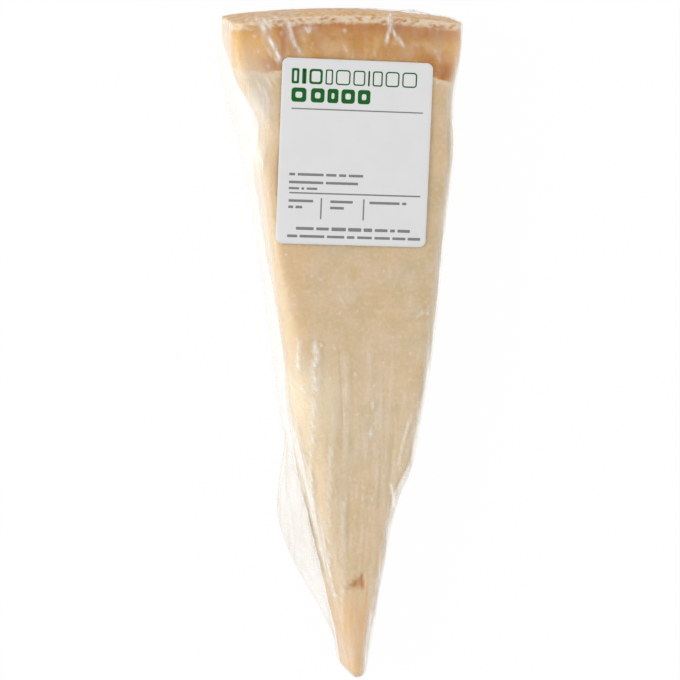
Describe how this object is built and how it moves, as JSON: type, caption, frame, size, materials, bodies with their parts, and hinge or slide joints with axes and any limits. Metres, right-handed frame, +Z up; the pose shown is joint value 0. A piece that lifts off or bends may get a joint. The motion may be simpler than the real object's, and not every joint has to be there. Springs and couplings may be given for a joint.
{
  "type": "film-wrapped hard cheese wedge",
  "caption": "Long tapering wedge of hard grating cheese, rind at the wide end, sealed in clear film with a plain paper label on its cut face.",
  "frame": {"origin": "on the surface it lies on, under the middle of the pack's box", "axes": "+Z up, +Y from the thin tip to the rind, +X to the right of the label's reader"},
  "size_m": [0.0716, 0.2082, 0.0276],
  "materials": {
    "cheese_under_film": "pale straw hard cheese seen through thin, tight, clear film, softly glossy with creases",
    "label_paper": "smooth coated paper label with plain fields of print"
  },
  "bodies": {
    "root": {"film_pack": "cheese_under_film", "label": "label_paper"}
  },
  "joints": []
}
